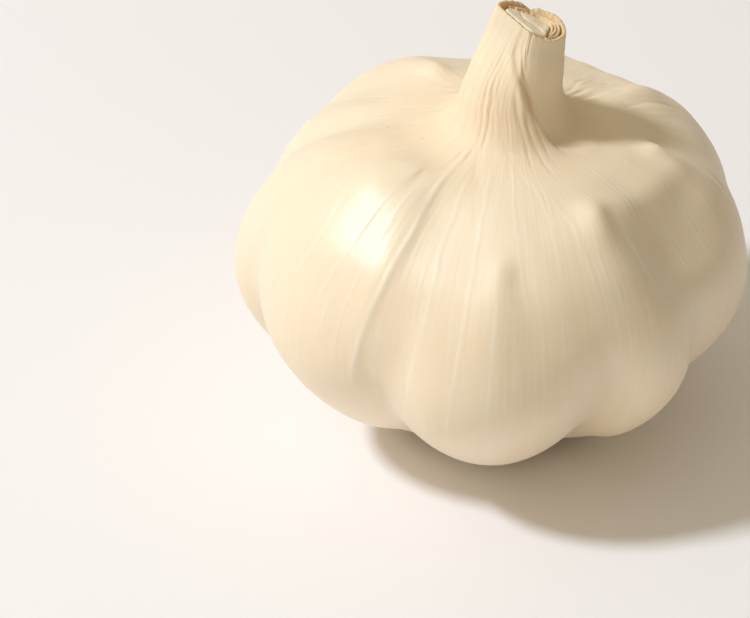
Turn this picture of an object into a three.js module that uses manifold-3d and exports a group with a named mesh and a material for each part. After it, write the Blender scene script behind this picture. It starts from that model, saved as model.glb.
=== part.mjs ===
// Garlic bulb with its dried neck cut short, standing on its root plate.
// Millimetres, +Z up, the front of the bulb faces -Y. The underside of the root plate is Z = 0.

import * as THREE from 'three';
import { mergeVertices } from 'three/addons/utils/BufferGeometryUtils.js';
import Module from 'manifold-3d';

// ---------------------------------------------------------------- driving dimensions

const COLUMNS = 112;          // facets round the bulb
const SKIN_ROWS = 41;         // rings from the root plate up to the cut rim

// Skin of the bulb at the bottom of the furrows between cloves: [radius, height].
// It starts at the root plate, goes out under the belly, over the shoulder and up the neck.
const SKIN = [
  [9.4, 2.6], [10.8, 2.1], [13.4, 2.9], [16.7, 6.8], [21.2, 10.8], [24.8, 15.5],
  [27.1, 21.0], [27.0, 27.0], [24.4, 31.9], [20.1, 35.0], [15.2, 37.2], [11.2, 38.6],
  [8.6, 39.7], [6.9, 41.1], [5.9, 43.0], [5.35, 45.3], [4.95, 47.6], [4.3, 50.6], [3.75, 53.6],
];

// The cloves under the skin, in order round the bulb. Angles in degrees from the front,
// positive towards +X; the swell is how far the skin stands out over the clove.
const CLOVES = [
  { belly: -58.5, tip: -58, half: 28.5, low: 3.3, high: 1.9, tipRadius: 14.2, point: 0.1 },
  { belly: -4.5, tip: -1.5, half: 28.5, low: 3.4, high: 0.9, tipRadius: 22.4, point: 0.45 },
  { belly: 42, tip: 30, half: 12, low: 3, high: 0.8, tipRadius: 17.9, point: 0.6 },
  { belly: 80, tip: 81, half: 17.5, low: 2.5, high: 1, tipRadius: 17.2, point: 0.9 },
  { belly: 123, tip: 121, half: 22, low: 3.4, high: 1.7, tipRadius: 17, point: 0.7 },
  { belly: 162, tip: 164, half: 25, low: 3.4, high: 1.4, tipRadius: 18.5, point: 0.7 },
  { belly: 215.5, tip: 213, half: 23.5, low: 3.6, high: 2.1, tipRadius: 15, point: 0.7 },
  { belly: 246.5, tip: 245, half: 11, low: 2.3, high: 0.8, tipRadius: 18, point: 0.3 },
  { belly: 271.5, tip: 274, half: 13.5, low: 4.8, high: 2.2, tipRadius: 16, point: 0.1 },
];

// Where the skin is stretched from point to point of the cloves, and where it sinks between
// them. The place is the distance along the skin from the root plate and the azimuth.
const STRETCHES = [
  { at: 47.5, azimuth: 50, height: 0.5, along: 5, across: 5 },
  { at: 47.5, azimuth: 66, height: 0.6, along: 5, across: 5 },
  { at: 46, azimuth: 32, height: 1.1, along: 3.5, across: 5 },
  { at: 41, azimuth: 28, height: 0.35, along: 4, across: 6 },
  { at: 39, azimuth: 62, height: -1, along: 6, across: 6 },
  { at: 40, azimuth: 48, height: -0.5, along: 5, across: 5 },
  { at: 43, azimuth: 14, height: 0.6, along: 6, across: 4 },
  { at: 50, azimuth: -2, height: 0.9, along: 6, across: 7 },
  { at: 43, azimuth: -33, height: 0.25, along: 6, across: 2.5 },
  { at: 48.5, azimuth: -54, height: 1.5, along: 5, across: 5 },
  { at: 44, azimuth: -77, height: 0.8, along: 7, across: 5 },
];

const PLEATS = 22;            // folds of dry skin round the neck
const PLEAT_TWIST = 1.2;      // degrees they turn for each mm up
const PLEAT_DEPTH = 0.62;
const NECK_OFFSET = 1.2;      // the neck stands a little to the right of the middle
const NECK_LEAN = 0.22;       // and leans that way, mm sideways for each mm up
const CUT_FALL = 0.46;        // the cut end falls to the right, mm down for each mm across
const CUT_EASE = 0.45;        // share of that fall lost over the right half of the cut
const CUT_FRONT = 0.12;       // the cut falls this much towards the back too
const FOLD_SIDE = -51;        // azimuth where the skin is pressed flat against the leaf base
const FOLD_START = 1.0;       // distance from the neck's middle where the pressing begins
const FOLD_SKIN = 0.52;       // how strongly it presses the outside of the skin in
const FOLD_POCKET = 0.72;     // its inside and the sheath
const FOLD_CORE = 0.9;        // and the leaf base

const RIM_THICKNESS = 0.5;    // outer skin left standing round the cut end
const POCKET_DEPTH = 4.6;     // how far down the inner leaf bases are seen as loose layers
const GAP = 0.3;              // clearance between nested pieces
const WRAP_FROM = 62;         // the inner sheath goes round from this azimuth
const WRAP_TO = 212;          // to this one
const WRAP_THICKNESS = 0.6;
const CORE_NARROW = 1.95;     // leaf base inside the sheath
const CORE_WIDE = 2.88;       // and where it reaches out past the sheath's ends

const PLATE_RADIUS = 8.6;
const PLATE_FLAT = 7.6;       // radius of the flat the bulb stands on
const PLATE_HEIGHT = 3.6;
const ROOTS = 30;             // trimmed root stubs round the plate
const ROOT_LENGTH = 2.6;
const ROOT_THICKNESS = 0.8;
const ROOT_SUNK = 1.2;        // length of each stub inside the plate

// ---------------------------------------------------------------- small helpers

const wasm = await Module();
wasm.setup();

const DEG = Math.PI / 180;

function step(a, b, x) {
  const t = THREE.MathUtils.clamp((x - a) / (b - a), 0, 1);
  return t * t * (3 - 2 * t);
}

// the larger of two heights, with the valley between them rounded by k
function swell(a, b, k) {
  const h = THREE.MathUtils.clamp(0.5 + 0.5 * (a - b) / k, 0, 1);
  return b + (a - b) * h + k * h * (1 - h);
}

// angle difference wrapped to -PI..PI
function turn(a, b) {
  const d = (a - b) % (2 * Math.PI);
  if (d > Math.PI) return d - 2 * Math.PI;
  if (d < -Math.PI) return d + 2 * Math.PI;
  return d;
}

// repeatable random numbers
function randomiser(seed) {
  let state = seed;
  return () => {
    state = (state * 1664525 + 1013904223) % 4294967296;
    return state / 4294967296;
  };
}

// sideways shift of the neck's middle at height z
function neckMiddle(z) {
  return NECK_OFFSET * step(35, 43, z) + NECK_LEAN * Math.max(z - 45, 0);
}

// the neck's flattened side, its lean and the slanting cut, applied to everything in the neck
function lean(point, foldIn) {
  const cut = step(45, 53, point.z);
  const side = new THREE.Vector2(Math.sin(FOLD_SIDE * DEG), -Math.cos(FOLD_SIDE * DEG));
  const over = Math.max(point.x * side.x + point.y * side.y - FOLD_START, 0);
  const shift = foldIn * step(46.5, 52.5, point.z) * over * over / (over + 0.6);
  const x = point.x - side.x * shift;
  const y = point.y - side.y * shift;
  const fall = CUT_FALL * x * (1 - CUT_EASE * step(0.5, 3.5, x)) + CUT_FRONT * y;
  point.x = x + neckMiddle(point.z);
  point.y = y * (1 - 0.1 * cut);
  point.z -= cut * fall;
  return point;
}

// ---------------------------------------------------------------- outer skin

const skinCurve = new THREE.SplineCurve(SKIN.map(([r, z]) => new THREE.Vector2(r, z)));
const skinPoints = skinCurve.getSpacedPoints(SKIN_ROWS - 1);
const skinLength = skinCurve.getLength();
const rowLength = skinLength / (SKIN_ROWS - 1);

// distance along the skin from the root plate to its widest ring
const widest = skinPoints.reduce((best, p, i) => (p.x > skinPoints[best].x ? i : best), 0);
const bellyAt = widest * rowLength;

// distance along the skin to the place above the belly where it has this radius
function distanceAt(radius) {
  for (let i = widest; i < SKIN_ROWS - 1; i += 1) {
    const a = skinPoints[i].x;
    const b = skinPoints[i + 1].x;
    if (a >= radius && b < radius) return (i + (a - radius) / (a - b)) * rowLength;
  }
  return skinLength;
}

const footAt = distanceAt(8.0);

// how far the skin stands out at a distance s along it, at angle phi, where its radius is r
function relief(s, phi, r) {
  const soft = 0.8 + 1.2 * step(bellyAt - 12, bellyAt + 8, s);
  const ends = step(0, 6, s) * (1 - step(footAt - 7, footAt + 1, s));
  let cover = 0;
  let points = 0;
  for (const clove of CLOVES) {
    const tipAt = distanceAt(clove.tipRadius);
    const height = THREE.MathUtils.lerp(clove.low, clove.high, step(bellyAt - 8, bellyAt + 8, s))
      * step(0, 13, s) * (1 - step(tipAt - 5, footAt, s));
    const middle = THREE.MathUtils.lerp(clove.belly, clove.tip, step(bellyAt - 6, tipAt, s));
    const across = turn(phi, middle * DEG);
    const t = across / (clove.half * DEG);
    cover = swell(cover, height * (1 - t * t), soft);
    // the clove's point pushes the skin up, with a keel running down from it
    const below = Math.max(tipAt - s, 0);
    const along = s < tipAt ? below / 8 : (s - tipAt) / 2;
    const side = across * r / (1.5 + 0.25 * Math.min(below, 20));
    points += clove.point * Math.exp(-along * along - side * side);
  }
  for (const place of STRETCHES) {
    const along = (s - place.at) / place.along;
    const side = turn(phi, place.azimuth * DEG) * r / place.across;
    points += place.height * Math.exp(-along * along - side * side);
  }
  return cover * ends + points + pleat(s, phi);
}

// folds of the dry neck; the side facing right is drawn smooth
function pleat(s, phi) {
  const neck = step(footAt - 4, footAt + 4, s);
  const smooth = 1 - 0.75 * Math.exp(-((turn(phi, 95 * DEG) / 0.75) ** 2));
  const turned = phi + PLEAT_TWIST * DEG * (s - footAt);
  const phase = PLEATS * turned + 1.4 * Math.sin(3 * turned + 0.8) + 0.9 * Math.sin(5 * turned);
  const fold = 0.5 + 0.5 * Math.sin(phase);
  const uneven = 0.75 + 0.25 * Math.sin(4 * phi + 0.5);
  return PLEAT_DEPTH * neck * (0.35 + 0.65 * smooth * uneven * fold ** 1.3);
}

// ---------------------------------------------------------------- the bulb

function bulbGeometry() {
  const rim = skinPoints[SKIN_ROWS - 1];
  const pocketFloor = rim.y - POCKET_DEPTH;
  const profile = [
    new THREE.Vector2(0, PLATE_HEIGHT + GAP),
    new THREE.Vector2(PLATE_RADIUS + GAP, PLATE_HEIGHT + GAP),
    ...skinPoints,
    new THREE.Vector2(rim.x - RIM_THICKNESS, rim.y),
    new THREE.Vector2(rim.x - RIM_THICKNESS + 0.1, pocketFloor),
    new THREE.Vector2(0, pocketFloor),
  ];
  const geometry = new THREE.LatheGeometry(profile, COLUMNS);
  const position = geometry.attributes.position;
  const point = new THREE.Vector3();
  for (let column = 0; column <= COLUMNS; column += 1) {
    const phi = (column % COLUMNS) * 2 * Math.PI / COLUMNS;
    for (let row = 0; row < profile.length; row += 1) {
      const skinRow = row - 2;
      let { x: r, y: z } = profile[row];
      if (skinRow >= 0 && skinRow < SKIN_ROWS) {
        const before = profile[Math.max(row - 1, 2)];
        const after = profile[Math.min(row + 1, SKIN_ROWS + 1)];
        const outward = new THREE.Vector2(after.y - before.y, before.x - after.x).normalize();
        const out = relief(skinRow * rowLength, phi, r);
        r += outward.x * out;
        z += outward.y * out;
      }
      point.set(r * Math.sin(phi), -r * Math.cos(phi), z);
      lean(point, skinRow < SKIN_ROWS ? FOLD_SKIN : FOLD_POCKET);
      position.setXYZ(column * profile.length + row, point.x, point.y, point.z);
    }
  }
  geometry.computeVertexNormals();
  return geometry;
}

// ---------------------------------------------------------------- the layers in the cut neck

// closed strip of sheath from one angle round to another, standing in the pocket
function sheathGeometry(inner, outer, from, to, bottom, top) {
  const steps = 26;
  const shape = new THREE.Shape();
  for (let i = 0; i <= steps; i += 1) {
    const a = THREE.MathUtils.lerp(from, to, i / steps) * DEG;
    const x = outer * Math.sin(a);
    const y = -outer * Math.cos(a);
    if (i === 0) shape.moveTo(x, y);
    else shape.lineTo(x, y);
  }
  for (let i = steps; i >= 0; i -= 1) {
    const a = THREE.MathUtils.lerp(from, to, i / steps) * DEG;
    const wave = inner + 0.08 * Math.sin(7 * a);
    shape.lineTo(wave * Math.sin(a), -wave * Math.cos(a));
  }
  const geometry = new THREE.ExtrudeGeometry(shape, {
    depth: top - bottom,
    steps: 4,
    bevelEnabled: false,
  });
  geometry.translate(0, 0, bottom);
  return leanGeometry(geometry, FOLD_POCKET);
}

// folded leaf base that fills the middle: a rod reaching out past the sheath's ends,
// with a crease along its top
function coreGeometry(bottom, top) {
  const columns = 36;
  const profile = [
    new THREE.Vector2(0, bottom),
    new THREE.Vector2(1, bottom),
    new THREE.Vector2(1, (bottom + top) / 2),
    new THREE.Vector2(1, top - 0.25),
    new THREE.Vector2(0.9, top),
    new THREE.Vector2(0.66, top),
    new THREE.Vector2(0.33, top),
    new THREE.Vector2(0, top),
  ];
  const side = new THREE.Vector2(Math.sin(FOLD_SIDE * DEG), -Math.cos(FOLD_SIDE * DEG));
  const geometry = new THREE.LatheGeometry(profile, columns);
  const position = geometry.attributes.position;
  for (let column = 0; column <= columns; column += 1) {
    const azimuth = (column % columns) * 360 / columns;
    const behindStart = step(WRAP_FROM - 20, WRAP_FROM - 5, azimuth);
    const beforeEnd = 1 - step(WRAP_TO + 5, WRAP_TO + 20, azimuth);
    const radius = THREE.MathUtils.lerp(CORE_WIDE, CORE_NARROW, behindStart * beforeEnd);
    for (let row = 0; row < profile.length; row += 1) {
      const r = radius * profile[row].x;
      const x = r * Math.sin(azimuth * DEG);
      const y = -r * Math.cos(azimuth * DEG);
      let z = profile[row].y;
      const across = x * side.x + y * side.y;
      const along = x * side.y - y * side.x;
      if (row > 4) z -= 0.35 * Math.exp(-(((across + 0.25 * Math.sin(1.6 * along)) / 0.35) ** 2));
      position.setXYZ(column * profile.length + row, x, y, z);
    }
  }
  return leanGeometry(geometry, FOLD_CORE);
}

function leanGeometry(geometry, foldIn) {
  const position = geometry.attributes.position;
  const point = new THREE.Vector3();
  for (let i = 0; i < position.count; i += 1) {
    point.fromBufferAttribute(position, i);
    lean(point, foldIn);
    position.setXYZ(i, point.x, point.y, point.z);
  }
  geometry.computeVertexNormals();
  return geometry;
}

// ---------------------------------------------------------------- the root plate

// corky disc with the dried roots trimmed to stubs, all one piece
function rootPlateGeometry() {
  const disc = new THREE.LatheGeometry([
    new THREE.Vector2(0, 0),
    new THREE.Vector2(PLATE_FLAT, 0),
    new THREE.Vector2(PLATE_RADIUS - 0.25, 0.35),
    new THREE.Vector2(PLATE_RADIUS, 1.2),
    new THREE.Vector2(PLATE_RADIUS - 0.1, PLATE_HEIGHT),
    new THREE.Vector2(0, PLATE_HEIGHT),
  ], 48);
  disc.rotateX(Math.PI / 2);
  let plate = toSolid(disc);
  const random = randomiser(7);
  for (let i = 0; i < ROOTS; i += 1) {
    const length = ROOT_LENGTH * (0.85 + 0.4 * random());
    const thick = ROOT_THICKNESS * (0.4 + 0.2 * random());
    const stub = new THREE.CylinderGeometry(thick, thick * 1.25, length, 6);
    stub.rotateZ(-Math.PI / 2 - 0.05 * random());
    stub.translate(PLATE_RADIUS - ROOT_SUNK + length / 2, 0, 0.9 + 0.3 * random());
    stub.rotateZ((i + 0.6 * random()) * 2 * Math.PI / ROOTS);
    plate = plate.add(toSolid(stub));
  }
  return fromSolid(plate);
}

function toSolid(geometry) {
  const bare = geometry.clone();
  bare.deleteAttribute('normal');
  bare.deleteAttribute('uv');
  const merged = mergeVertices(bare, 1e-4);
  return new wasm.Manifold(new wasm.Mesh({
    numProp: 3,
    vertProperties: merged.attributes.position.array,
    triVerts: new Uint32Array(merged.index.array),
  }));
}

function fromSolid(solid) {
  const mesh = solid.getMesh();
  const geometry = new THREE.BufferGeometry();
  geometry.setAttribute('position', new THREE.BufferAttribute(mesh.vertProperties, 3));
  geometry.setIndex(new THREE.BufferAttribute(new Uint32Array(mesh.triVerts), 1));
  geometry.computeVertexNormals();
  return geometry;
}

// ---------------------------------------------------------------- assembly

function named(name, geometry, colour, roughness) {
  const material = new THREE.MeshStandardMaterial({ color: colour, roughness, metalness: 0 });
  const mesh = new THREE.Mesh(geometry, material);
  mesh.name = name;
  return mesh;
}

const rimInside = skinPoints[SKIN_ROWS - 1].x - RIM_THICKNESS;
const rimTop = skinPoints[SKIN_ROWS - 1].y;
const pocketBottom = rimTop - POCKET_DEPTH + GAP;
const wrapOuter = rimInside - GAP;
const wrapInner = wrapOuter - WRAP_THICKNESS;
const wrap = sheathGeometry(wrapInner, wrapOuter, WRAP_FROM, WRAP_TO, pocketBottom, rimTop - 0.3);

const garlic = new THREE.Group();
garlic.name = 'garlic_bulb';
garlic.add(
  named('bulb', bulbGeometry(), '#f3e2c6', 0.5),
  named('neck_wrap', wrap, '#d9b27c', 0.7),
  named('neck_core', coreGeometry(pocketBottom, rimTop + 0.1), '#ecd8b2', 0.6),
  named('root_plate', rootPlateGeometry(), '#b08a5c', 0.9),
);

export default garlic;
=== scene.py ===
"""Garlic bulb: papery veined skin over the cloves, twisted pleated neck cut across, trimmed root plate.

Sizes are in millimetres and become metres when a mesh is made. The front of the bulb faces -Y.
Places on the skin are given by s, the distance along it from the root plate up to the cut rim,
and by the azimuth from the front in degrees, positive towards +X.
"""

import math

import bpy
import numpy as np
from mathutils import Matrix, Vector


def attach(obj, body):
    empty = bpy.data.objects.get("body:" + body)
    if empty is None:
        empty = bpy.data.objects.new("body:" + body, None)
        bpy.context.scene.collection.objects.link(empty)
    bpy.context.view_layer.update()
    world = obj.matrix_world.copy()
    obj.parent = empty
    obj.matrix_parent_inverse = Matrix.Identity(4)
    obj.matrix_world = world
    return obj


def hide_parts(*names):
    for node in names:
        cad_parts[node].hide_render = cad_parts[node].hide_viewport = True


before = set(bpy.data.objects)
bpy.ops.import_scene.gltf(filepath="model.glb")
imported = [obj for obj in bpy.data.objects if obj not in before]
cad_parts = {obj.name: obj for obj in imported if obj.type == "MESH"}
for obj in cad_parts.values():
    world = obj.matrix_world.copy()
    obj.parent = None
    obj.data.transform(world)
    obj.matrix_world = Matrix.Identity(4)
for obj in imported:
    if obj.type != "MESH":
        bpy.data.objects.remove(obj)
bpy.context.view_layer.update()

MM = 0.001
RANDOM = np.random.default_rng(20)

# ------------------------------------------------------------------ the bulb's main form
# The same profile and cloves as in the CAD part.

SKIN = [
    (9.4, 2.6), (10.8, 2.1), (13.4, 2.9), (16.7, 6.8), (21.2, 10.8), (24.8, 15.5),
    (27.1, 21.0), (27.0, 27.0), (24.4, 31.9), (20.1, 35.0), (15.2, 37.2), (11.2, 38.6),
    (8.6, 39.7), (6.9, 41.1), (5.9, 43.0), (5.35, 45.3), (4.95, 47.6), (4.3, 50.6), (3.75, 53.6),
]

# belly azimuth, tip azimuth, half width in degrees, swell low and high, radius of the tip, its point
CLOVES = [
    (-58.5, -58, 28.5, 3.3, 1.9, 14.2, 0.1),
    (-4.5, -1.5, 28.5, 3.4, 0.9, 22.4, 0.45),
    (42, 30, 12, 3.0, 0.8, 17.9, 0.6),
    (80, 81, 17.5, 2.5, 1.0, 17.2, 0.9),
    (123, 121, 22, 3.4, 1.7, 17.0, 0.7),
    (162, 164, 25, 3.4, 1.4, 18.5, 0.7),
    (215.5, 213, 23.5, 3.6, 2.1, 15.0, 0.7),
    (246.5, 245, 11, 2.3, 0.8, 18.0, 0.3),
    (271.5, 274, 13.5, 4.8, 2.2, 16.0, 0.1),
]

# Where the skin is stretched from point to point of the cloves, and where it sinks between them:
# s, azimuth, height, reach up and down, reach across.
STRETCHES = [
    (47.5, 50, 0.5, 5, 5), (47.5, 66, 0.6, 5, 5), (46, 32, 1.1, 3.5, 5), (41, 28, 0.35, 4, 6),
    (39, 62, -1.0, 6, 6), (40, 48, -0.5, 5, 5), (43, 14, 0.6, 6, 4), (50, -2, 0.9, 6, 7),
    (43, -33, 0.25, 6, 2.5), (48.5, -54, 1.5, 5, 5), (44, -77, 0.8, 7, 5),
]

PLEATS = 22              # folds of dry skin round the neck
PLEAT_TWIST = 1.2        # degrees they turn for each mm up
PLEAT_DEPTH = 0.62
NECK_OFFSET = 1.2        # the neck stands a little to the right of the middle
NECK_LEAN = 0.22         # and leans that way, mm sideways for each mm up
CUT_FALL = 0.46          # the cut end falls to the right, mm down for each mm across
CUT_EASE = 0.45          # share of that fall lost over the right half of the cut
CUT_FRONT = 0.12         # the cut falls this much towards the back too
FOLD_SIDE = -51          # azimuth where the top of the skin is pressed flat against the leaf base

PLATE_RADIUS = 8.6
PLATE_FLAT = 7.6         # radius of the flat the bulb stands on
PLATE_HEIGHT = 3.6
PLATE_CLEARANCE = 0.3    # between the plate and the skin round it
ROOTS = 64               # trimmed root stubs round the plate

# ------------------------------------------------------------------ the cut end

RIM_THICKNESS = 0.42     # outer skin left standing round the cut end
RIM_FLAT = 2.62          # distance from the neck's middle to the flat side: outside the skin,
POCKET_FLAT = 2.2        # inside it,
SHEET_FLAT = 1.9         # of the sheaths
CORE_FLAT = 2.14         # and of the leaf base
POCKET_DEPTH = 4.2       # how far down the inner leaf bases are seen as loose layers
CORE_NARROW = 2.1        # radius of the leaf base inside the sheaths
CORE_WIDE = 3.05         # and where it reaches out past their ends
WRAP_FROM = 62           # it is inside them from about this azimuth
WRAP_TO = 212            # to this one

# Thin sheaths one inside the other: outer radius, thickness, azimuths of the ends, height above the cut.
SHEETS = [
    (3.36, 0.35, 30, 228, 0.06), (2.98, 0.36, 44, 216, 0.12), (2.59, 0.37, 54, 205, 0.06),
]

# How much the cut rim stands above or below the slanting cut: azimuth, height.
RIM_LIFTS = [
    (-180, -0.22), (-163, 0.28), (-118, 0.15), (-95, 0.0), (-51, -0.1), (0, -0.1), (20, -0.3),
    (45, -0.5), (75, -0.45), (95, -0.25), (113, 0.1), (138, 0.45), (167, 0.42), (180, -0.22),
]

# ------------------------------------------------------------------ fine relief on the skin

# Raised veins that stand out, and grooves beside two of them: places (s, azimuth) along each, width,
# height, and how pale it is.
VEINS = [
    ([(57, -37.5), (52, -34.5), (48, -32.5), (44.4, -31.2), (40, -32), (36, -33.5), (31.5, -35.5), (26, -38)],
     0.34, 0.11, 0.9),
    ([(52, -31.5), (46, -28.6), (40, -29), (36, -30.5), (31, -32.8), (25, -35)], 1.3, -0.14, 0.0),
    ([(54, -24.5), (48.8, -21.1), (45, -20.8), (40.7, -20), (36.4, -20), (32.2, -21.5), (22, -25)],
     0.22, 0.026, 0.8),
    ([(57, -13.5), (50, -10.6), (45.7, -9.5), (42.2, -9.4), (37, -10), (32.8, -10.9), (22, -13.5)],
     0.24, 0.030, 0.9),
    ([(57, 1), (50.6, 1.6), (46.6, 3.2), (42.2, 4.4), (39.1, 5.2), (36.8, 5.5)], 0.20, 0.022, 0.7),
    ([(56, 9), (52.6, 13.1), (47.6, 14.8), (43.4, 15.6), (40.2, 15)], 0.20, 0.02, 0.6),
    ([(54, 14), (50, 19.1), (46.9, 21.5), (42.6, 23.1), (37, 24)], 0.20, 0.018, 0.4),
    ([(39, -2), (35.4, -2.8), (32.4, -2.9), (29.2, -3.5), (24, -4)], 0.24, 0.028, 0.8),
    ([(45, 27), (39.2, 26.8), (35.7, 27), (33, 28.2)], 0.20, 0.022, 0.6),
    ([(41, 29), (37, 29.6), (31, 31)], 0.15, 0.025, 0.5),
    ([(44.5, 39.5), (40, 41.1), (36.7, 42), (33.9, 42.9)], 0.18, 0.045, 1.0),
    ([(43.5, 68), (41.4, 67.8), (38.2, 66.9), (34, 67.8)], 0.18, 0.03, 0.8),
    ([(54, -72), (50.8, -67.5), (46.5, -62.5), (42.9, -57.9), (39.2, -56.2), (34, -56.5)], 0.18, 0.035, 0.6),
    ([(49, -46), (45.5, -46.1), (41.2, -45.5), (36.8, -47.2), (32, -48.2)], 0.18, 0.04, 0.7),
    ([(50, -41), (45.5, -39.5), (40.6, -39), (36.9, -40.2), (28, -42)], 0.18, 0.04, 0.7),
    ([(39, -43), (37.2, -43.8), (33.7, -45.1), (29, -47.2)], 0.18, 0.04, 0.6),
    ([(54.7, -108), (50.3, -91), (46, -86)], 0.16, 0.02, 0.4),
    ([(50, 88.5), (47.6, 85.8), (43.5, 83.6), (38.8, 83.9), (33.4, 86.5)], 0.45, 0.16, 0.7),
    ([(49, 91), (44.5, 89.5), (41.5, 88.4), (38.3, 87), (35, 88)], 0.20, -0.10, 0.0),
    ([(53, 103), (46, 104), (40, 105), (33, 104)], 0.16, 0.045, 0.6),
]
FINE_VEIN_SPACING = 5.5      # degrees, on average

# Smaller bumps where the cloves' points press on the skin, and the dents and flats beside them:
# s, azimuth, height, reach up and down, reach across.
MARKS = [
    # the left clove, and the furrow between it and the middle one
    (51.2, -49.0, 0.18, 1.6, 1.2), (50.2, -43.4, -0.16, 1.6, 0.7), (47.5, -38.0, 0.42, 4.5, 2.6),
    (35.0, -24.5, -0.45, 7.0, 2.4), (37.0, -16.0, -0.36, 8.0, 3.4), (34.0, -35.0, 0.24, 8.0, 1.8),
    (27.0, -26.5, -0.60, 6.0, 3.2),
    # the middle clove
    (42.4, -3.0, 0.07, 1.0, 1.5), (41.0, 3.4, -0.13, 1.5, 1.7), (44.0, -12.0, -0.15, 5.0, 3.0),
    # the two right cloves, with the shaded flat between their points
    (47.6, 34.0, 0.16, 1.3, 1.3), (45.4, 39.0, -0.34, 1.8, 2.0), (38.5, 50.0, -0.55, 5.0, 4.5),
    (36.5, 63.0, -0.75, 5.5, 5.5), (46.4, 46.0, 0.18, 1.8, 3.5), (45.6, 60.0, 0.40, 2.2, 4.5),
    (44.5, 72.0, 0.25, 2.2, 3.5), (48.2, 81.0, 0.26, 1.5, 1.7), (46.4, 85.5, -0.32, 2.0, 1.8),
    # behind
    (52.5, -149, 0.4, 3.5, 3.5), (44.0, 150, 0.45, 2.2, 2.2), (44.3, 138, 0.45, 2.2, 2.4),
    (45.6, 124, 0.25, 2.2, 2.4), (50.5, 121.0, 0.24, 1.6, 1.4), (47.5, 164.0, 0.24, 1.6, 1.4),
    (50.5, 213.0, 0.24, 1.6, 1.4),
]

# The line down the middle clove where its front turns away from the light: places (s, azimuth),
# and how far the skin drops past it.
TURN_EDGE = [(27.5, -1.4), (33, -1.4), (42, -2.2)]
TURN_DROP = 0.36

# Short wrinkles of the slack skin behind on the right, and small creases beside the neck:
# places (s, azimuth), width, depth.
WRINKLES = [
    ([(59.9, 94), (54.9, 123.8), (52.0, 125.1), (51.1, 120.4)], 0.26, 0.16),
    ([(55.7, 134.2), (51.6, 140.9), (50.1, 140.6)], 0.24, 0.16),
    ([(57, 126), (54.2, 131.5), (51.8, 133.0)], 0.24, 0.15),
    ([(50.6, 141.2), (48.8, 136.6), (47.5, 128.8), (44.5, 123.5), (41.4, 126.2)], 0.24, 0.10),
    ([(50.8, 132.2), (49.5, 122.1), (46.3, 119.4)], 0.22, 0.12),
    ([(51.2, 119.6), (49.4, 113.0), (46.2, 115.1), (42.2, 115.4)], 0.24, 0.12),
    ([(47.2, 107.1), (44.6, 107.1), (41.9, 105.2)], 0.22, 0.08),
    ([(48.3, 149.4), (47.1, 144.0), (46.7, 137.5)], 0.24, 0.10),
    ([(42.2, 115.4), (40.6, 112.2), (39.2, 108.8)], 0.22, 0.08),
    ([(51.9, -45.9), (51.0, -44.6), (50.3, -43.5)], 0.18, 0.14),
    ([(57.3, -40.0), (55.6, -39.8)], 0.18, 0.10),
    ([(57.6, -33.8), (55.8, -33.0)], 0.18, 0.10),
]

# More wrinkles at random, behind on the right and then on the left: how many, the azimuths and the
# places s between which they lie, and height.
RANDOM_WRINKLES = [(50, 100, 165, 42, 55, 0.09), (30, -150, -70, 48, 58, 0.035)]
RANDOM_WRINKLE_WIDTH = 0.17

# The edge where the front of the neck drops to its smooth right face: places (s, azimuth), and how far.
FACE_EDGE = [(56, 46), (58.6, 36), (61.2, 25), (63.7, 11), (66.9, -6), (69, -12), (71, -12.5), (72.5, -10)]
FACE_DROP = 0.6

# Folds of the twisted neck: the crease's places (s, azimuth), its width and depth.
FOLDS = [
    ([(72.5, -27), (71.2, -29.8), (70.5, -32.6), (69.6, -31.4), (68.7, -27.6), (67.8, -17), (66.8, -4),
      (65.8, 7), (64.3, 17.5), (62.7, 23.5)], 0.34, 0.50),
    ([(72.5, -14), (71.6, -16.0), (70.7, -19.0), (70.0, -20.0), (68.8, -12), (67, 2), (65.1, 21.1)],
     0.22, 0.30),
    ([(72.5, -6), (71.5, -7.9), (70.6, -9.9), (70.0, -8.5), (68, 4)], 0.20, 0.26),
    ([(72.5, 0), (71.9, -1.6), (71.0, -2.9), (70.2, -2.0), (68.7, 4)], 0.16, 0.20),
    ([(69.8, -50.2), (68.7, -47.5), (67.3, -42), (65.8, -35), (64.0, -28.8), (61.7, -28.1), (58, -27)],
     0.18, 0.12),
    ([(68, -57), (66.5, -48), (65.1, -41.0), (63.1, -35.6), (60.7, -34.5), (57, -33)], 0.18, 0.07),
    ([(68.5, -80), (67.6, -69.8), (65.8, -60), (64.1, -49.5), (61, -43)], 0.18, 0.06),
    ([(70.1, -53.5), (69.1, -46.5), (67, -35), (64.9, -23.2), (62.1, -14.1), (59.0, -11.0)], 0.18, 0.06),
    ([(67.5, -18), (65.9, -6.1), (63.0, 3.8), (59.0, 12.4), (56, 15)], 0.20, 0.08),
    ([(66.3, 3), (63.9, 12.0), (61.2, 14.8), (57.9, 22.5), (54.5, 26)], 0.20, 0.08),
    ([(63.5, 18.6), (61.0, 24.4), (58.4, 30.1), (55, 33)], 0.20, 0.06),
]


def step(a, b, x):
    """0 up to a, 1 from b on, and smooth between."""
    t = np.clip((x - a) / (b - a), 0, 1)
    return t * t * (3 - 2 * t)


def swell(a, b, k):
    """The larger of two heights, with the valley between them rounded by k."""
    h = np.clip(0.5 + 0.5 * (a - b) / k, 0, 1)
    return b + (a - b) * h + k * h * (1 - h)


def turn(a, b):
    """Angle difference wrapped to -pi..pi."""
    return (a - b + math.pi) % (2 * math.pi) - math.pi


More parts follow.
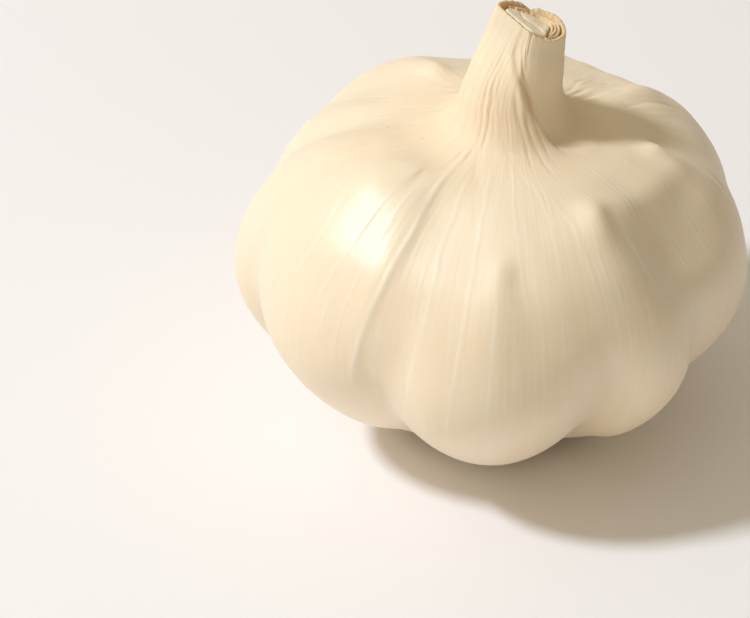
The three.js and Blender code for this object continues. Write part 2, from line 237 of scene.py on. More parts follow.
class SkinCurve:
    """The skin's profile, read by the distance s along it."""

    def __init__(self, points, samples=6001):
        p = np.array(points, float)
        t = np.linspace(0, len(p) - 1, samples)
        i = np.minimum(t.astype(int), len(p) - 2)
        u = (t - i)[:, None]
        a, b, c = p[np.maximum(i - 1, 0)], p[i], p[i + 1]
        d = p[np.minimum(i + 2, len(p) - 1)]
        v0, v1 = (c - a) / 2, (d - b) / 2
        q = (2 * (b - c) + v0 + v1) * u**3 + (3 * (c - b) - 2 * v0 - v1) * u**2 + v0 * u + b
        self.s = np.r_[0, np.cumsum(np.linalg.norm(np.diff(q, axis=0), axis=1))]
        self.r, self.z = q[:, 0], q[:, 1]
        dr, dz = np.gradient(self.r), np.gradient(self.z)
        size = np.hypot(dr, dz)
        self.out_r, self.out_z = dz / size, -dr / size
        self.length = float(self.s[-1])
        self.widest = int(np.argmax(self.r))
        self.belly = float(self.s[self.widest])

    def at_radius(self, radius):
        """Distance along the skin to where it has this radius above the belly."""
        return float(np.interp(-radius, -self.r[self.widest:], self.s[self.widest:]))

    def read(self, values, s):
        return np.interp(s, self.s, values)


CURVE = SkinCurve(SKIN)
FOOT = CURVE.at_radius(8.0)      # where the neck spreads into the shoulder
RIM_HEIGHT = float(CURVE.z[-1])
POCKET_FLOOR = RIM_HEIGHT - POCKET_DEPTH + 0.35      # where the sheaths and the leaf base start


def ridge(s, r, phi, places, width, ease=3.0):
    """1 on a line drawn over the skin through the places, falling to 0 at its width; the distance
    across from the line; and how present it is at each s, eased in and out at its ends."""
    at = np.array(sorted(places), float)
    wander = 0.12 * np.sin(1.7 * s + at[0, 1]) + 0.06 * np.sin(4.1 * s + 2 * at[0, 1])
    middle = np.radians(np.interp(s, at[:, 0], at[:, 1]) + wander)
    across = turn(phi, middle) * r
    start = step(at[0, 0] - ease / 2, at[0, 0] + ease, s)
    reaches_rim = at[-1, 0] > CURVE.length - 1
    top = np.where(reaches_rim, 1.0, 1 - step(at[-1, 0] - ease, at[-1, 0] + ease / 2, s))
    present = start * top * (0.8 + 0.2 * np.sin(0.9 * s + 3 * at[0, 1]))
    return np.exp(-(across / width) ** 2) * present, across, present


def clove_relief(s, r, phi):
    """How far the skin stands out over the cloves. s and r are columns, phi is a row."""
    soft = 0.8 + 1.2 * step(CURVE.belly - 12, CURVE.belly + 8, s)
    ends = step(0, 6, s) * (1 - step(FOOT - 7, FOOT + 1, s))
    cover = np.zeros(np.broadcast_shapes(s.shape, phi.shape))
    points = np.zeros_like(cover)
    for belly, tip, half, low, high, tip_radius, point in CLOVES:
        tip_at = CURVE.at_radius(tip_radius)
        height = (low + (high - low) * step(CURVE.belly - 8, CURVE.belly + 8, s)) \
            * step(0, 13, s) * (1 - step(tip_at - 5, FOOT, s))
        middle = belly + (tip - belly) * step(CURVE.belly - 6, tip_at, s)
        across = turn(phi, np.radians(middle))
        cover = swell(cover, height * (1 - (across / math.radians(half)) ** 2), soft)
        below = np.maximum(tip_at - s, 0)
        along = np.where(s < tip_at, below / 8, (s - tip_at) / 2)
        side = across * r / (1.5 + 0.25 * np.minimum(below, 20))
        points += point * np.exp(-along**2 - side**2)
    for place, azimuth, height, length, width in STRETCHES + MARKS:
        side = turn(phi, math.radians(azimuth)) * r / width
        points += height * np.exp(-((s - place) / length) ** 2 - side**2)
    _, across, present = ridge(s, r, phi, TURN_EDGE, 1.0)
    past = np.clip(across + 0.2, 0, None)
    points -= TURN_DROP * present * (1 - np.exp(-past**1.3 / 3.2)) * (1 - step(3, 12, across))
    return cover * ends + points


def neck_relief(s, r, phi):
    """Folds of the dry neck, and how deep in a crease each place is, 0 to 1, for the painted shade in the
    creases.
    The left of the front is nearly smooth, the right is drawn smooth, the back is pleated."""
    azimuth = np.degrees(turn(phi, 0))
    neck = step(FOOT - 4, FOOT + 4, s)
    back = 1 - step(-140, -112, azimuth) * (1 - step(105, 140, azimuth))
    left = step(-140, -110, azimuth) * (1 - step(-40, -25, azimuth))
    smooth = 1 - 0.75 * np.exp(-(turn(phi, math.radians(95)) / 0.75) ** 2)
    turned = phi + math.radians(PLEAT_TWIST) * (s - FOOT)
    phase = PLEATS * turned + 1.4 * np.sin(3 * turned + 0.8) + 0.9 * np.sin(5 * turned)
    fold = 0.5 + 0.5 * np.sin(phase)
    sharp = fold ** 1.3
    amount = (0.85 * back + 0.16 * left + 0.08) * (0.8 + 0.2 * np.sin(9 * turned + 0.3 * s))
    amount = amount * (1 - 0.6 * step(CURVE.length - 4, CURVE.length, s))
    uneven = 0.75 + 0.25 * np.sin(4 * phi + 0.5)
    _, across, present = ridge(s, r, phi, FACE_EDGE, 1.0)
    face = step(-0.3, 1.2, across) * (1 - step(110, 140, azimuth))
    fine = np.sin(62 * turned + 2.2 * np.sin(7 * turned)) * (0.6 + 0.4 * np.sin(5 * turned + 0.25 * s))
    fine = fine * (1 - 0.8 * face)
    relief = PLEAT_DEPTH * neck * (0.35 + 0.65 * smooth * uneven * (0.43 + amount * (sharp - 0.43)))
    relief = relief + (0.018 + 0.022 * left) * neck * smooth * fine * step(FOOT - 1, FOOT + 4, s)
    deep = amount * np.clip(1 - fold * 1.8, 0, 1)
    crease_shade = neck * smooth * np.maximum(deep, 0.15 * np.clip(-fine - 0.5, 0, 1))
    drop = FACE_DROP * (1 - 0.5 * step(CURVE.length - 2.5, CURVE.length, s)) * present
    relief = relief - drop * step(-0.1, 0.9, across) * (1 - step(1.5, 6.5, across))
    for places, width, depth in FOLDS:
        line, across, present = ridge(s, r, phi, places, width)
        shoulder = np.exp(-((across + 2.6 * width) / (1.7 * width)) ** 2) * present
        relief = relief + depth * (0.55 * shoulder - line)
        crease_shade = np.maximum(crease_shade, line * min(depth * 2.2, 1.0))
    return relief, crease_shade


def foot_streaks(s, r, phi):
    """Fine folds where the neck spreads into the shoulder."""
    relief = np.zeros(np.broadcast_shapes(s.shape, phi.shape))
    for _ in range(95):
        azimuth = RANDOM.uniform(-180, 180)
        strength = RANDOM.uniform(0.3, 1.0)
        low, high = RANDOM.uniform(47, 56), RANDOM.uniform(59, 66)
        if 20 < azimuth < 125:
            strength *= 0.35
            high = min(high, 62)
        slant = RANDOM.uniform(-2.5, -0.4) * (high - low)
        wander = RANDOM.normal(0, 2.0)
        places = [(low, azimuth), ((low + high) / 2, azimuth + slant / 3 + wander), (high, azimuth + slant)]
        line, _, _ = ridge(s, r, phi, places, RANDOM.uniform(0.16, 0.34))
        relief += 0.045 * strength * line * (1 if RANDOM.uniform() < 0.5 else -1)
    return relief


def vein_relief(s, r, phi):
    """Raised veins: their height and how pale they are."""
    relief = np.zeros(np.broadcast_shapes(s.shape, phi.shape))
    pale = np.zeros_like(relief)
    for places, width, height, paleness in VEINS:
        line, across, present = ridge(s, r, phi, places, width)
        hollow = np.exp(-((across - 2.4 * width) / (1.6 * width)) ** 2) * present
        relief += height * (line - 0.35 * hollow)
        pale = np.maximum(pale, paleness * line)
    azimuth = -180.0
    while azimuth < 180:
        azimuth += FINE_VEIN_SPACING * RANDOM.uniform(0.5, 1.5)
        top, bottom = RANDOM.uniform(44, 57), RANDOM.uniform(8, 28)
        wander = RANDOM.normal(0, 1.2, 4)
        places = [(bottom + (top - bottom) * k / 3, azimuth + w) for k, w in enumerate(wander)]
        strength = RANDOM.uniform(0.15, 0.6)
        line, _, _ = ridge(s, r, phi, places, RANDOM.uniform(0.13, 0.20))
        relief += 0.022 * strength * line
        pale = np.maximum(pale, 0.4 * strength * line)
    return relief, pale


def wrinkle_relief(s, r, phi):
    """Short wrinkles where the skin is slack: behind on the right, and beside the neck on the left."""
    relief = np.zeros(np.broadcast_shapes(s.shape, phi.shape))
    for places, width, depth in WRINKLES:
        line, across, present = ridge(s, r, phi, places, width, 1.0)
        beside = np.exp(-((across + 2.5 * width) / (1.7 * width)) ** 2) * present
        relief += depth * (0.8 * beside - line)
    for count, first, last, low, high, height in RANDOM_WRINKLES:
        for _ in range(count):
            azimuth, at = RANDOM.uniform(first, last), RANDOM.uniform(low, high)
            length, slant = RANDOM.uniform(2, 5), RANDOM.uniform(-2.5, 2.5)
            places = [(at - length / 2, azimuth - slant), (at + length / 2, azimuth + slant)]
            line, across, present = ridge(s, r, phi, places, RANDOM_WRINKLE_WIDTH)
            beside = np.exp(-((across - 0.5) / 0.35) ** 2) * present
            relief += height * RANDOM.uniform(0.4, 1) * (0.6 * beside - line)
    return relief


def fibre_relief(s, phi):
    """Very fine lengthwise ribbing of the dry skin."""
    relief = np.zeros(np.broadcast_shapes(s.shape, phi.shape))
    for _ in range(26):
        count = RANDOM.integers(70, 230)
        drift = RANDOM.uniform(-0.02, 0.02)
        swing = RANDOM.uniform(0, 6.3, 3)
        fade = 0.5 + 0.5 * np.sin(RANDOM.integers(2, 9) * phi + swing[1] + 0.12 * s)
        relief += np.sin(count * (phi + drift * s / 10) + swing[0]) * fade
    return 0.0014 * relief * step(4, 14, s)


def around(radius, phi):
    """x and y of places at this radius and azimuth."""
    return radius * np.sin(phi), -radius * np.cos(phi)


def rim_lift(azimuth):
    """How much the cut rim stands above or below the slanting cut there. Degrees from -180 to 180."""
    places = np.array(RIM_LIFTS)
    return np.interp(azimuth, places[:, 0], places[:, 1])


def flatten(x, y, z, limit):
    """Press the neck's top flat on its folded side, no farther out than the limit."""
    u, v = around(1.0, math.radians(FOLD_SIDE))
    over = x * u + y * v - limit
    shift = step(46.5, 52.5, z) * 0.5 * (over + np.sqrt(over * over + 0.16))
    return x - u * shift, y - v * shift


def lean(x, y, z):
    """The neck's offset and lean, and its slanting cut."""
    cut = step(45, 53, z)
    middle = NECK_OFFSET * step(35, 43, z) + NECK_LEAN * np.maximum(z - 45, 0)
    fall = CUT_FALL * x * (1 - CUT_EASE * step(0.5, 3.5, x)) + CUT_FRONT * y
    return np.stack([x + middle, y * (1 - 0.1 * cut), z - cut * fall], -1)


# ------------------------------------------------------------------ meshes


def ring_faces(rings, start=0):
    """Faces of a closed surface through rings of points, each with as many points as the next,
    half or twice. A ring of one point closes an end."""
    starts = start + np.cumsum([0] + [len(ring) for ring in rings])
    faces = []
    for a, b, sa, sb in zip(rings, rings[1:], starts, starts[1:]):
        na, nb = len(a), len(b)
        if na == 1:
            faces += [(sa, sb + (j + 1) % nb, sb + j) for j in range(nb)]
        elif nb == 1:
            faces += [(sa + j, sa + (j + 1) % na, sb) for j in range(na)]
        elif na == nb:
            faces += [(sa + j, sa + (j + 1) % na, sb + (j + 1) % nb, sb + j) for j in range(na)]
        elif nb == 2 * na:
            faces += [(sa + j, sa + (j + 1) % na, sb + (2 * j + 2) % nb, sb + 2 * j + 1, sb + 2 * j)
                      for j in range(na)]
        else:
            faces += [(sa + 2 * j, sa + 2 * j + 1, sa + (2 * j + 2) % na, sb + (j + 1) % nb, sb + j)
                      for j in range(nb)]
    return faces


def closed(rings):
    """The rings with a point at each end."""
    return [rings[0].mean(0, keepdims=True)] + rings + [rings[-1].mean(0, keepdims=True)]


def make_piece(name, bodies):
    """One piece from several closed surfaces, each a list of rings."""
    points, faces = [], []
    for rings in bodies:
        faces += ring_faces(rings, sum(len(p) for p in points))
        points += rings
    mesh = bpy.data.meshes.new(name)
    mesh.from_pydata((np.concatenate(points) * MM).tolist(), [], faces)
    mesh.validate()
    mesh.shade_smooth()
    piece = bpy.data.objects.new(name, mesh)
    bpy.context.scene.collection.objects.link(piece)
    return piece


def store(piece, name, values, kind="FLOAT"):
    """A number or a vector for each point, which the materials read."""
    attribute = piece.data.attributes.new(name, kind, "POINT")
    field = "value" if kind == "FLOAT" else "vector"
    attribute.data.foreach_set(field, np.asarray(values, np.float32).ravel())


def declare(piece, node):
    """The piece rides on the only body and stands for this CAD node."""
    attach(piece, "root")
    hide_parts(node)


FINE_COLUMNS = 1080
COARSE_STEP = 2          # the small rings below and above take every second column
BELLY_FROM = 12          # places s where the spacing of the rings changes
SHOULDER_FROM = 38
NECK_FROM = 58
GRAIN_RADIUS = 25        # of the round tube on which the skin's grain is laid out


def skin_rows():
    """The rings' places s, and how many fine columns apart the points of each are."""
    under = np.arange(0, BELLY_FROM, 1.0)
    belly = np.arange(BELLY_FROM, SHOULDER_FROM, 0.9)
    shoulder = np.arange(SHOULDER_FROM, NECK_FROM, 0.6)
    neck = np.linspace(NECK_FROM, CURVE.length, 52)
    s = np.r_[under, belly, shoulder, neck]
    coarse = (s < BELLY_FROM) | (s >= NECK_FROM)
    return s, np.where(coarse, COARSE_STEP, 1)


def make_skin():
    """The outer skin in one closed piece: over the cloves, up the neck and down inside the cut end."""
    s_rows, stride = skin_rows()
    s = s_rows[:, None]
    phi = (np.arange(FINE_COLUMNS) * 2 * math.pi / FINE_COLUMNS)[None]
    r = CURVE.read(CURVE.r, s)
    z = CURVE.read(CURVE.z, s)
    folds, crease_shade = neck_relief(s, r, phi)
    veins, pale = vein_relief(s, r, phi)
    relief = clove_relief(s, r, phi) + folds + veins + fibre_relief(s, phi)
    relief += foot_streaks(s, r, phi) + wrinkle_relief(s, r, phi)
    azimuth = np.degrees(turn(phi, 0))
    lift = rim_lift(azimuth) + 0.05 * np.sin(31 * phi) * np.sin(7 * phi)
    rr = r + CURVE.read(CURVE.out_r, s) * relief
    zz = z + CURVE.read(CURVE.out_z, s) * relief
    raised = lift * step(CURVE.length - 5, CURVE.length, s)
    x, y = flatten(*around(rr, phi), zz, RIM_FLAT)
    outer = lean(x, y, zz)
    outer[..., 2] += raised

    # the cut edge of the skin, and its inside down to the floor of the pocket
    inner = []
    walls = ((0.12, -0.06), (RIM_THICKNESS, 0.0), (RIM_THICKNESS, 1.4), (RIM_THICKNESS, POCKET_DEPTH))
    for inward, drop in walls:
        flat = RIM_FLAT if inward < RIM_THICKNESS else POCKET_FLAT
        x, y = flatten(*around(rr[-1] - inward, phi[0]), zz[-1] - drop, flat)
        ring = lean(x, y, zz[-1] - drop)
        ring[:, 2] += lift[0] * (1 - drop / POCKET_DEPTH)
        inner.append(ring)
    floor = inner[-1].mean(0, keepdims=True)

    # the hollow underneath that the root plate sits in
    root_top = np.full(FINE_COLUMNS, PLATE_HEIGHT + PLATE_CLEARANCE)
    root_ring = np.stack([*around(PLATE_RADIUS + PLATE_CLEARANCE, phi[0]), root_top], -1)
    roof = np.array([[0, 0, root_top[0]]])

    rings = [roof, root_ring[::COARSE_STEP]] + [ring[::k] for ring, k in zip(outer, stride)]
    rings += [ring[::COARSE_STEP] for ring in inner] + [floor]
    skin = make_piece("bulb_skin", [rings])

    def per_point(values, inside):
        """A value for each of the piece's points: 0 underneath, and as given inside the cut end."""
        body = [row[::k] for row, k in zip(np.broadcast_to(values, outer.shape[:2]), stride)]
        coarse = FINE_COLUMNS // COARSE_STEP
        return np.concatenate([np.zeros(1 + coarse)] + body + [np.full(coarse * len(inner) + 1, inside)])

    store(skin, "pale", per_point(pale, 0.0))
    # painted shade: darker in the neck's creases, and down the inside of the cut end
    store(skin, "crease_shade", per_point(crease_shade, 0.8))
    # The neck is tan; on its right side, which faces away from the lamp, it is darker still: painted shade.
    right = np.exp(-(turn(phi, math.radians(95)) / 0.9) ** 2)
    behind = 1 - step(-130, -100, azimuth) * (1 - step(50, 80, azimuth))
    stain = np.exp(-((s - 55.8) / 1.8) ** 2) * step(-150, -125, azimuth) * (1 - step(-68, -52, azimuth))
    neck_tan_and_shade = step(FOOT - 8, FOOT + 4, s) * (1.3 + 1.2 * right) + 0.6 * stain
    store(skin, "neck", per_point(neck_tan_and_shade, 1.0))
    store(skin, "rim", per_point(step(CURVE.length - 0.9, CURVE.length, s) * (0.25 + 0.75 * behind), 1.0))
    # the dull patch at the point of the middle clove
    matt = np.exp(-((s - 42) / 6) ** 2 - ((azimuth + 6) / 11) ** 2)
    store(skin, "matt", per_point(matt, 0.0))
    # places for the noises that are drawn out along the skin, the same width from root to rim
    along = per_point(s, CURVE.length)
    cosine = per_point(np.cos(phi) * np.ones_like(s), 0.0)
    sine = per_point(np.sin(phi) * np.ones_like(s), 0.0)
    store(skin, "grain", np.stack([cosine * GRAIN_RADIUS, sine * GRAIN_RADIUS, along], -1), "FLOAT_VECTOR")
    declare(skin, "bulb")
    return skin


def make_layers():
    """Thin sheaths standing one inside the other round the back of the cut neck."""
    columns = 90
    bodies = []
    for outer_radius, thickness, start, end, top in SHEETS:
        rings = []
        for i in range(columns + 1):
            azimuth = math.radians(start + (end - start) * i / columns)
            wave = 0.02 * math.sin(7 * azimuth + outer_radius)
            lift = min(float(rim_lift(math.degrees(turn(azimuth, 0)))), 0.0)
            high = RIM_HEIGHT + top + 0.8 * lift + 0.05 * math.sin(5 * azimuth + 7 * outer_radius)
            thin = thickness * (0.8 + 0.2 * math.sin(6 * azimuth))
            half_way = (POCKET_FLOOR + high) / 2
            section = [(0, POCKET_FLOOR), (0, half_way), (0, high - 0.08), (thin / 2, high),
                       (thin, high - 0.08), (thin, half_way), (thin, POCKET_FLOOR)]
            ring = []
            for inward, z in section:
                x, y = flatten(*around(outer_radius + wave - inward, azimuth), z, SHEET_FLAT)
                ring.append(lean(x, y, z))
            rings.append(np.array(ring))
        bodies.append(closed(rings))
    layers = make_piece("neck_layers", bodies)
    declare(layers, "neck_wrap")
    return layers


def make_core():
    """The folded leaf base in the middle: a pale edge along its flat side and a wavy crease beside it."""
    columns = 160
    theta = np.arange(columns) * 2 * math.pi / columns
    azimuth = np.degrees(theta)
    narrow = step(WRAP_FROM - 34, WRAP_FROM - 4, azimuth) * (1 - step(WRAP_TO - 4, WRAP_TO + 20, azimuth))
    radius = CORE_WIDE + (CORE_NARROW - CORE_WIDE) * narrow
    u, v = around(1.0, math.radians(FOLD_SIDE))

    def ring(share, z):
        """The ring, and how pale and how deep in the crease its points are."""
        x, y = flatten(*around(radius * share, theta), np.full(columns, z), CORE_FLAT * share)
        across, along = x * u + y * v, x * v - y * u
        line = across - 0.15 - 0.22 * np.sin(1.7 * along + 0.4)
        edge = np.exp(-((across - 1.62) / 0.26) ** 2)
        cut = np.exp(-(line / 0.13) ** 2) * step(-2.4, -1.5, along) * (1 - step(1.4, 2.2, along))
        lobe = np.exp(-((across + 0.7) / 0.8) ** 2 - ((along - 0.5) / 1.3) ** 2)
        height = 0.12 * edge - 0.26 * cut + 0.12 * lobe
        top = step(0.9, 0.98, 1 - (RIM_HEIGHT - z) / 3)
        return lean(x, y, z + height * top), edge * top, cut * top

    levels = [(1.0, POCKET_FLOOR), (1.0, 51.0), (1.0, 52.6)]
    levels += [(1.0, RIM_HEIGHT - 0.25), (0.975, RIM_HEIGHT - 0.08)]
    levels += [(share, RIM_HEIGHT) for share in np.linspace(0.93, 0.04, 22)]
    rings, pale, crease_shade = zip(*[ring(share, z) for share, z in levels])
    core = make_piece("neck_core_leaf", [closed(list(rings))])
    store(core, "pale", np.concatenate([[0], *pale, [0]]))
    # painted shade along the wavy crease
    store(core, "crease_shade", np.concatenate([[0], *crease_shade, [0]]))
    declare(core, "neck_core")
    return core


def root_disc():
    """Rings of the corky disc, ringed and ribbed underneath."""
    columns = 240
    phi = np.arange(columns) * 2 * math.pi / columns

    def cork(radius, scale):
        rib = np.sin(60 * phi + 1.5 * np.sin(5 * phi)) * np.sin(23 * phi + radius)
        return scale * (0.5 + 0.5 * rib)

    rings = [np.array([[0, 0, 0.35]])]
    for radius in np.linspace(0.4, PLATE_FLAT - 0.05, 30):
        ringed = 0.16 * (1 + math.sin(radius * 4.2)) * step(0.3, 1.2, PLATE_FLAT - radius)
        dip = ringed + 0.22 * (1 - step(0, 3, radius))
        z = dip + cork(radius, 0.14) * min(radius / 3, 1)
        rings.append(np.stack([*around(radius, phi), np.maximum(z - 0.02, 0.0)], -1))
    edge = [(PLATE_FLAT + 0.25, 0.12), (PLATE_RADIUS - 0.25, 0.4), (PLATE_RADIUS - 0.05, 0.9)]
    edge += [(PLATE_RADIUS, 1.5), (PLATE_RADIUS - 0.05, 2.4), (PLATE_RADIUS - 0.1, PLATE_HEIGHT)]
    for radius, z in edge:
        rings.append(np.stack([*around(radius - cork(radius * 3, 0.16), phi), np.full(columns, z)], -1))
    return rings + [np.array([[0, 0, PLATE_HEIGHT]])]


def root_stub(number):
    """Rings of one dry root, which starts in the plate, sags and swerves a little and is trimmed short."""
    azimuth = (number + RANDOM.uniform(-0.4, 0.4)) * 2 * math.pi / ROOTS
    length = RANDOM.uniform(1.0, 2.2)
    start = PLATE_RADIUS - 0.9
    low, sag = RANDOM.uniform(0.75, 1.5), RANDOM.uniform(0.0, 0.35)
    thick = RANDOM.uniform(0.20, 0.34)
    swerve = RANDOM.uniform(-0.12, 0.12)
    round_it = np.arange(8)[:, None] * math.pi / 4
    up = np.array([0, 0, 1.0])
    rings = []
    for t in np.arange(7) / 6:
        a = azimuth + swerve * t * t
        fat = thick * (1 - 0.35 * t) * (1 + 0.08 * math.sin(5 * t + number))
        centre = np.array([*around(start + (length + 0.5) * t, a), low - sag * t * t])
        sideways = np.array([math.cos(a), math.sin(a), 0])
        rings.append(centre + fat * (np.cos(round_it) * sideways + np.sin(round_it) * up))
    return closed(rings)


def make_root_plate():
    """The corky disc, with the dry roots trimmed to stubs round it."""
    plate = make_piece("root_plate_cork", [root_disc()] + [root_stub(i) for i in range(ROOTS)])
    declare(plate, "root_plate")
    return plate


# ------------------------------------------------------------------ materials


BUMP_STRENGTH = 0.5
SCATTER_RADIUS = (1.0, 0.62, 0.35)     # of red, green and blue light


class Nodes:
    """Short calls for the node tree of a material or of the world."""

    def __init__(self, owner, shader="Principled BSDF"):
        owner.use_nodes = True
        self.owner = owner
        self.tree = owner.node_tree
        self.shader = self.tree.nodes[shader]

    def new(self, kind, **settings):
        node = self.tree.nodes.new(kind)
        for key, value in settings.items():
            setattr(node, key, value)
        return node

    def link(self, source, target):
        self.tree.links.new(source, target)

    def put(self, socket, value):
        if isinstance(value, bpy.types.NodeSocket):
            self.link(value, socket)
        else:
            socket.default_value = value

    def attribute(self, name, output="Fac"):
        return self.new("ShaderNodeAttribute", attribute_name=name).outputs[output]

    def math(self, operation, a, b):
        node = self.new("ShaderNodeMath", operation=operation)
        self.put(node.inputs[0], a)
        self.put(node.inputs[1], b)
        return node.outputs[0]

    def share(self, factor, amount):
        """The factor, scaled down to this amount at most."""
        return self.math("MULTIPLY", factor, amount)

    def scaled(self, vector, scale):
        node = self.new("ShaderNodeVectorMath", operation="MULTIPLY")
        self.put(node.inputs[0], vector)
        node.inputs[1].default_value = scale
        return node.outputs[0]

    def noise(self, vector, scale, detail, roughness=0.55):
        node = self.new("ShaderNodeTexNoise")
        self.put(node.inputs["Vector"], vector)
        node.inputs["Scale"].default_value = scale
        node.inputs["Detail"].default_value = detail
        node.inputs["Roughness"].default_value = roughness
        return node.outputs["Fac"]

    def ramp(self, value, low, high):
        """0 at low and 1 at high."""
        node = self.new("ShaderNodeMapRange")
        self.put(node.inputs["Value"], value)
        node.inputs["From Min"].default_value = low
        node.inputs["From Max"].default_value = high
        return node.outputs["Result"]

    def mix(self, factor, a, b, kind="RGBA"):
        node = self.new("ShaderNodeMix", data_type=kind)
        self.put(node.inputs["Factor"], factor)
        self.put(node.inputs["A"], a)
        self.put(node.inputs["B"], b)
        return node.outputs["Result"]

    def bump(self, height, distance):
        node = self.new("ShaderNodeBump")
        node.inputs["Distance"].default_value = distance
        node.inputs["Strength"].default_value = BUMP_STRENGTH
        self.link(height, node.inputs["Height"])
        self.link(node.outputs["Normal"], self.shader.inputs["Normal"])

    def scatter(self, weight, depth):
        """Light that sinks in and comes out near by, the red farthest."""
        self.shader.inputs["Subsurface Weight"].default_value = weight
        self.shader.inputs["Subsurface Radius"].default_value = SCATTER_RADIUS
        self.shader.inputs["Subsurface Scale"].default_value = depth


def skin_material():
    """Cream skin, streaked and threaded lengthwise; browner at the neck and the cut rim; painted shade in the
    creases, down inside the cut end and on the neck's right side.
    """
    n = Nodes(bpy.data.materials.new("outer_skin"))
    grain = n.attribute("grain", "Vector")
    streaks = n.noise(n.scaled(grain, (1.0, 1.0, 0.045)), 1.6, 5.0, 0.6)
    threads = n.noise(n.scaled(grain, (1.0, 1.0, 0.03)), 5.5, 4.0, 0.6)
    clouds = n.noise(n.scaled(grain, (0.05, 0.05, 0.05)), 1.0, 2.0)
    patches = n.noise(n.scaled(grain, (0.22, 0.22, 0.12)), 1.0, 3.0)
    specks = n.noise(n.scaled(grain, (1.0, 1.0, 0.5)), 0.9, 1.0)
    neck = n.attribute("neck")
    layers = (
        (n.share(n.ramp(patches, 0.35, 0.65), 0.3), (0.95, 0.80, 0.61, 1)),
        (n.share(n.ramp(streaks, 0.40, 0.70), 0.25), (0.97, 0.88, 0.71, 1)),
        (n.share(n.ramp(threads, 0.52, 0.72), 0.13), (0.80, 0.62, 0.42, 1)),
        (n.share(n.attribute("pale"), 0.55), (0.98, 0.92, 0.78, 1)),
        # the neck's tan, with painted shade on its right side
        (n.share(neck, 0.32), (0.86, 0.69, 0.46, 1)),
        # painted shade in the creases and down inside the cut end
        (n.share(n.attribute("crease_shade"), 0.5), (0.66, 0.44, 0.23, 1)),
        (n.share(n.attribute("rim"), 0.5), (0.72, 0.49, 0.25, 1)),
        (n.share(n.ramp(specks, 0.80, 0.83), 0.5), (0.55, 0.36, 0.20, 1)),
    )
    colour = n.mix(n.ramp(clouds, 0.35, 0.65), (0.91, 0.77, 0.57, 1), (0.94, 0.81, 0.62, 1))
    for factor, tint in layers:
        colour = n.mix(factor, colour, tint)
    n.link(colour, n.shader.inputs["Base Color"])
    rough = n.math("ADD", 0.36, n.share(streaks, 0.10))
    rough = n.math("ADD", rough, n.share(n.attribute("matt"), 0.2))
    rough = n.math("ADD", rough, n.share(neck, 0.2))
    n.link(rough, n.shader.inputs["Roughness"])
    n.scatter(0.25, 0.0022)
    n.shader.inputs["Specular IOR Level"].default_value = 0.6
    n.bump(n.math("ADD", n.share(threads, 0.5), streaks), 0.00004)
    return n.owner


def layers_material():
    """Dry tan sheath with lengthwise streaks."""
    n = Nodes(bpy.data.materials.new("inner_sheath"))
    place = n.new("ShaderNodeTexCoord").outputs["Object"]
    streaks = n.noise(n.scaled(place, (1.0, 1.0, 0.08)), 2600, 4.0, 0.6)
    colour = n.mix(n.ramp(streaks, 0.35, 0.65), (0.74, 0.53, 0.29, 1), (0.90, 0.73, 0.48, 1))
    n.link(colour, n.shader.inputs["Base Color"])
    n.shader.inputs["Roughness"].default_value = 0.6
    n.bump(streaks, 0.0001)
    return n.owner


def core_material():
    """Pale moist leaf base, paler along its edge, with brown painted shade in its crease."""
    n = Nodes(bpy.data.materials.new("leaf_base"))
    place = n.new("ShaderNodeTexCoord").outputs["Object"]
    spots = n.noise(place, 1500, 4.0, 0.6)
    colour = n.mix(n.ramp(spots, 0.35, 0.65), (0.94, 0.78, 0.56, 1), (0.98, 0.87, 0.66, 1))
    colour = n.mix(n.share(n.attribute("pale"), 0.7), colour, (0.97, 0.88, 0.66, 1))
    # painted shade in the crease
    colour = n.mix(n.share(n.attribute("crease_shade"), 0.8), colour, (0.50, 0.34, 0.17, 1))
    n.link(colour, n.shader.inputs["Base Color"])
    n.shader.inputs["Roughness"].default_value = 0.55
    n.scatter(0.2, 0.0012)
    n.bump(spots, 0.00015)
    return n.owner


def plate_material():
    """Brown cork with paler fibres."""
    n = Nodes(bpy.data.materials.new("root_plate"))
    place = n.new("ShaderNodeTexCoord").outputs["Object"]
    spots = n.noise(place, 900, 5.0, 0.65)
    fibres = n.noise(place, 4000, 3.0, 0.6)
    colour = n.mix(n.ramp(spots, 0.35, 0.65), (0.36, 0.23, 0.12, 1), (0.62, 0.46, 0.28, 1))
    colour = n.mix(n.share(n.ramp(fibres, 0.5, 0.7), 0.4), colour, (0.74, 0.60, 0.40, 1))
    n.link(colour, n.shader.inputs["Base Color"])
    n.shader.inputs["Roughness"].default_value = 0.9
    n.bump(spots, 0.0003)
    return n.owner


# ------------------------------------------------------------------ camera, light and floor

CAMERA_ELEVATION = 36.1
CAMERA_LENS = 200.0
SENSOR_WIDTH = 36.0
IMAGE_SIZE = (750, 618)
PIXELS_PER_MM = 8.47
AIM = np.array([0.0, 0.0, 21.0])
AIM_PIXEL = (498.8, 256.1)     # where the aim point falls in the picture

# The lamp stands on the left, high up. Distance and sizes of lamp and floor are in metres.
KEY_AZIMUTH = -82
KEY_ELEVATION = 51
KEY_DISTANCE = 1.0
KEY_SIZE = 0.14
KEY_POWER = 6.25
KEY_COLOUR = (0.965, 1.0, 1.08)

# The room's light is warm low down and paler above, and it grows towards the left and above.
ROOM_LOW = (1.0, 0.77, 0.47, 1)
ROOM_HIGH = (1.0, 0.91, 0.73, 1)
ROOM_TILT = (-0.24, 0.0, 0.33)
ROOM_LEVEL = 0.255

# A pale band round the horizon, which low views see behind the bulb. Heights are on the unit sphere.
WALL_COLOUR = (1.0, 0.93, 0.80, 1)
WALL_LEVEL = 0.62
WALL_TOP = 0.03
WALL_FADE = 0.04

FLOOR_HALF = 2.0
FLOOR_COLOUR = (0.93, 0.93, 0.95, 1)


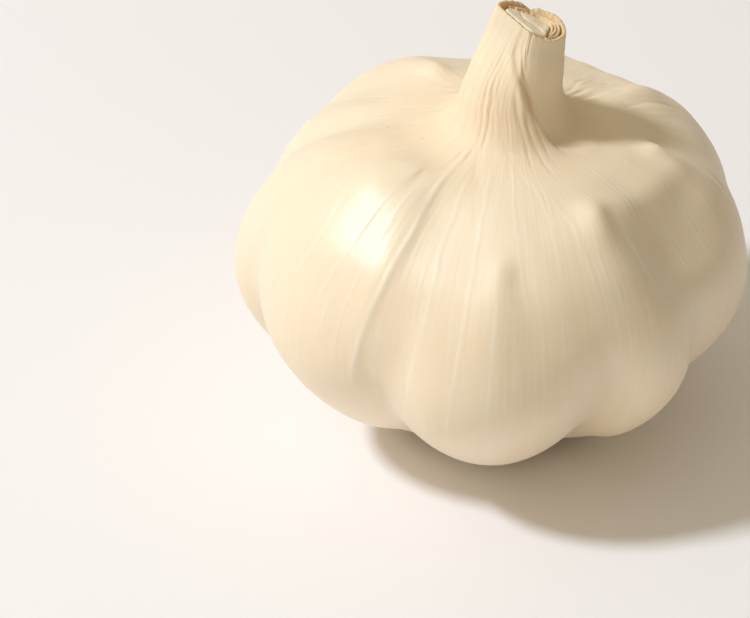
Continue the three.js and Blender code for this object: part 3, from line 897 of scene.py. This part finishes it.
def make_camera():
    """Camera placed so that the bulb falls where it does in the photo, and plain picture colours."""
    data = bpy.data.cameras.new("camera")
    data.lens = CAMERA_LENS
    data.sensor_width = SENSOR_WIDTH
    focal = CAMERA_LENS / SENSOR_WIDTH * IMAGE_SIZE[0]
    distance = focal / PIXELS_PER_MM
    e = math.radians(CAMERA_ELEVATION)
    forward = np.array([0, math.cos(e), -math.sin(e)])
    up = np.array([0, math.sin(e), math.cos(e)])
    right = np.array([1.0, 0, 0])
    place = AIM - forward * distance
    place -= right * (AIM_PIXEL[0] - IMAGE_SIZE[0] / 2) / PIXELS_PER_MM
    place -= up * (IMAGE_SIZE[1] / 2 - AIM_PIXEL[1]) / PIXELS_PER_MM
    camera = bpy.data.objects.new("camera", data)
    camera.location = place * MM
    camera.rotation_euler = (math.radians(90 - CAMERA_ELEVATION), 0, 0)
    data.clip_start, data.clip_end = 0.01, 20
    bpy.context.scene.collection.objects.link(camera)
    bpy.context.scene.camera = camera
    view = bpy.context.scene.view_settings
    view.view_transform = "Standard"
    view.look = "None"


def make_light():
    """A round lamp aimed at the bulb."""
    data = bpy.data.lights.new("key", "AREA")
    data.shape = "DISK"
    data.size = KEY_SIZE
    data.energy = KEY_POWER
    data.color = KEY_COLOUR
    lamp = bpy.data.objects.new("key", data)
    a, e = math.radians(KEY_AZIMUTH), math.radians(KEY_ELEVATION)
    back = np.array([math.sin(a) * math.cos(e), -math.cos(a) * math.cos(e), math.sin(e)])
    lamp.location = AIM * MM + back * KEY_DISTANCE
    lamp.rotation_mode = "QUATERNION"
    lamp.rotation_quaternion = Vector(-back).to_track_quat("-Z", "Y")
    bpy.context.scene.collection.objects.link(lamp)


def make_room():
    """The light that comes from all round."""
    n = Nodes(bpy.data.worlds.new("studio"), "Background")
    direction = n.new("ShaderNodeTexCoord").outputs["Generated"]
    split = n.new("ShaderNodeSeparateXYZ")
    n.link(direction, split.inputs[0])
    height = split.outputs["Z"]
    wall = n.ramp(height, WALL_TOP + WALL_FADE, WALL_TOP)
    tilt = n.new("ShaderNodeVectorMath", operation="DOT_PRODUCT")
    n.link(direction, tilt.inputs[0])
    tilt.inputs[1].default_value = ROOM_TILT
    level = n.math("ADD", tilt.outputs["Value"], ROOM_LEVEL)
    n.link(n.mix(wall, n.mix(height, ROOM_LOW, ROOM_HIGH), WALL_COLOUR), n.shader.inputs["Color"])
    n.link(n.mix(wall, level, WALL_LEVEL, "FLOAT"), n.shader.inputs["Strength"])
    bpy.context.scene.world = n.owner


def make_floor():
    """The plain pale table top. It is stage, not part of the bulb."""
    mesh = bpy.data.meshes.new("floor")
    corners = [(x * FLOOR_HALF, y * FLOOR_HALF, 0) for x, y in ((-1, -1), (1, -1), (1, 1), (-1, 1))]
    mesh.from_pydata(corners, [], [(0, 1, 2, 3)])
    floor = bpy.data.objects.new("floor", mesh)
    bpy.context.scene.collection.objects.link(floor)
    n = Nodes(bpy.data.materials.new("floor"))
    n.shader.inputs["Base Color"].default_value = FLOOR_COLOUR
    n.shader.inputs["Roughness"].default_value = 0.9
    mesh.materials.append(n.owner)


# ------------------------------------------------------------------ build

make_camera()
make_light()
make_room()
make_floor()
make_skin().data.materials.append(skin_material())
make_layers().data.materials.append(layers_material())
make_core().data.materials.append(core_material())
make_root_plate().data.materials.append(plate_material())
